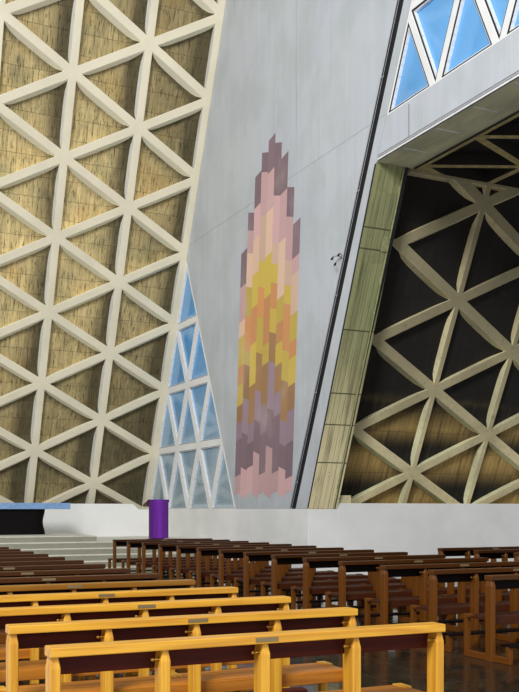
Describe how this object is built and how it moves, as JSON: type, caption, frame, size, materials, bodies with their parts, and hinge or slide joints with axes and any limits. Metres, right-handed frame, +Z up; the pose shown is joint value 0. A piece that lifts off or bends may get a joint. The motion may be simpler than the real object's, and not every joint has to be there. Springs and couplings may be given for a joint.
{
  "type": "sanctuary end of a modern concrete church",
  "caption": "Sanctuary corner of a concrete church: leaning coffered end wall, side wall with corner window and triangular bay, coffered aisle, altar and pews.",
  "frame": {"origin": "at ground level, on the foot of the line where the inner face of the end wall meets the nave face of the side wall", "axes": "+Z up, +Y towards the altar and the end wall, +X from the nave through the side wall into the aisle"},
  "size_m": [16.535, 27.4005, 16.871],
  "materials": {
    "dark_stone": "polished dark stone tiles with a mottled grain",
    "step_stone": "honed grey-green stone with light nosings",
    "white_concrete": "white painted board-marked concrete",
    "cream_concrete": "off-white painted precast concrete ribs",
    "tan_concrete": "stained board-marked concrete",
    "raw_concrete": "bare greenish-tan board-marked concrete",
    "dark_infill": "dark stained board-marked concrete",
    "dark_metal": "dark painted metal channel",
    "pale_glass": "clear blue-white glass",
    "dark_wood": "dark stained wood",
    "pale_stone": "polished pale blue-grey stone",
    "purple_cloth": "plain purple woven cloth",
    "honey_wood": "varnished honey-coloured softwood"
  },
  "bodies": {
    "root": {"nave_floor": "dark_stone", "aisle_floor": "dark_stone", "step_1": "step_stone", "step_2": "step_stone", "step_3": "step_stone", "step_4": "step_stone", "platform": "step_stone", "dais": "step_stone", "sanctuary_low_wall": "white_concrete", "side_low_wall": "white_concrete", "side_low_wall_near": "white_concrete", "side_wall_lower": "white_concrete", "side_wall_upper": "white_concrete", "corner_window_bars": "white_concrete", "clerestory_bars": "white_concrete", "ring_beam": "white_concrete", "aisle_low_wall": "white_concrete", "aisle_low_wall_near": "white_concrete", "end_wall_ribs": "cream_concrete", "end_wall_slab": "tan_concrete", "raking_post_far": "raw_concrete", "raking_post_near": "raw_concrete", "aisle_end_ribs": "raw_concrete", "aisle_near_wall": "raw_concrete", "aisle_ceiling_ribs": "raw_concrete", "aisle_end_slab": "dark_infill", "aisle_roof_slab": "dark_infill", "service_channel": "dark_metal", "corner_window_glass": "pale_glass", "clerestory_glass": "pale_glass", "altar_base": "dark_wood", "altar_slab": "pale_stone", "ambo_cloth": "purple_cloth", "ambo": "honey_wood", "pew_left_01": "honey_wood", "pew_left_02": "honey_wood", "pew_left_03": "honey_wood", "pew_left_04": "honey_wood", "pew_left_05": "honey_wood", "pew_left_06": "honey_wood", "pew_left_07": "honey_wood", "pew_left_08": "honey_wood", "pew_left_09": "honey_wood", "pew_left_10": "honey_wood", "pew_left_11": "honey_wood", "pew_left_12": "honey_wood", "pew_middle_01": "honey_wood", "pew_middle_02": "honey_wood", "pew_middle_03": "honey_wood", "pew_middle_04": "honey_wood", "pew_middle_05": "honey_wood", "pew_middle_06": "honey_wood", "pew_middle_07": "honey_wood", "pew_middle_08": "honey_wood", "pew_middle_09": "honey_wood", "pew_middle_10": "honey_wood", "pew_middle_11": "honey_wood", "pew_middle_12": "honey_wood", "pew_middle_13": "honey_wood"}
  },
  "joints": []
}
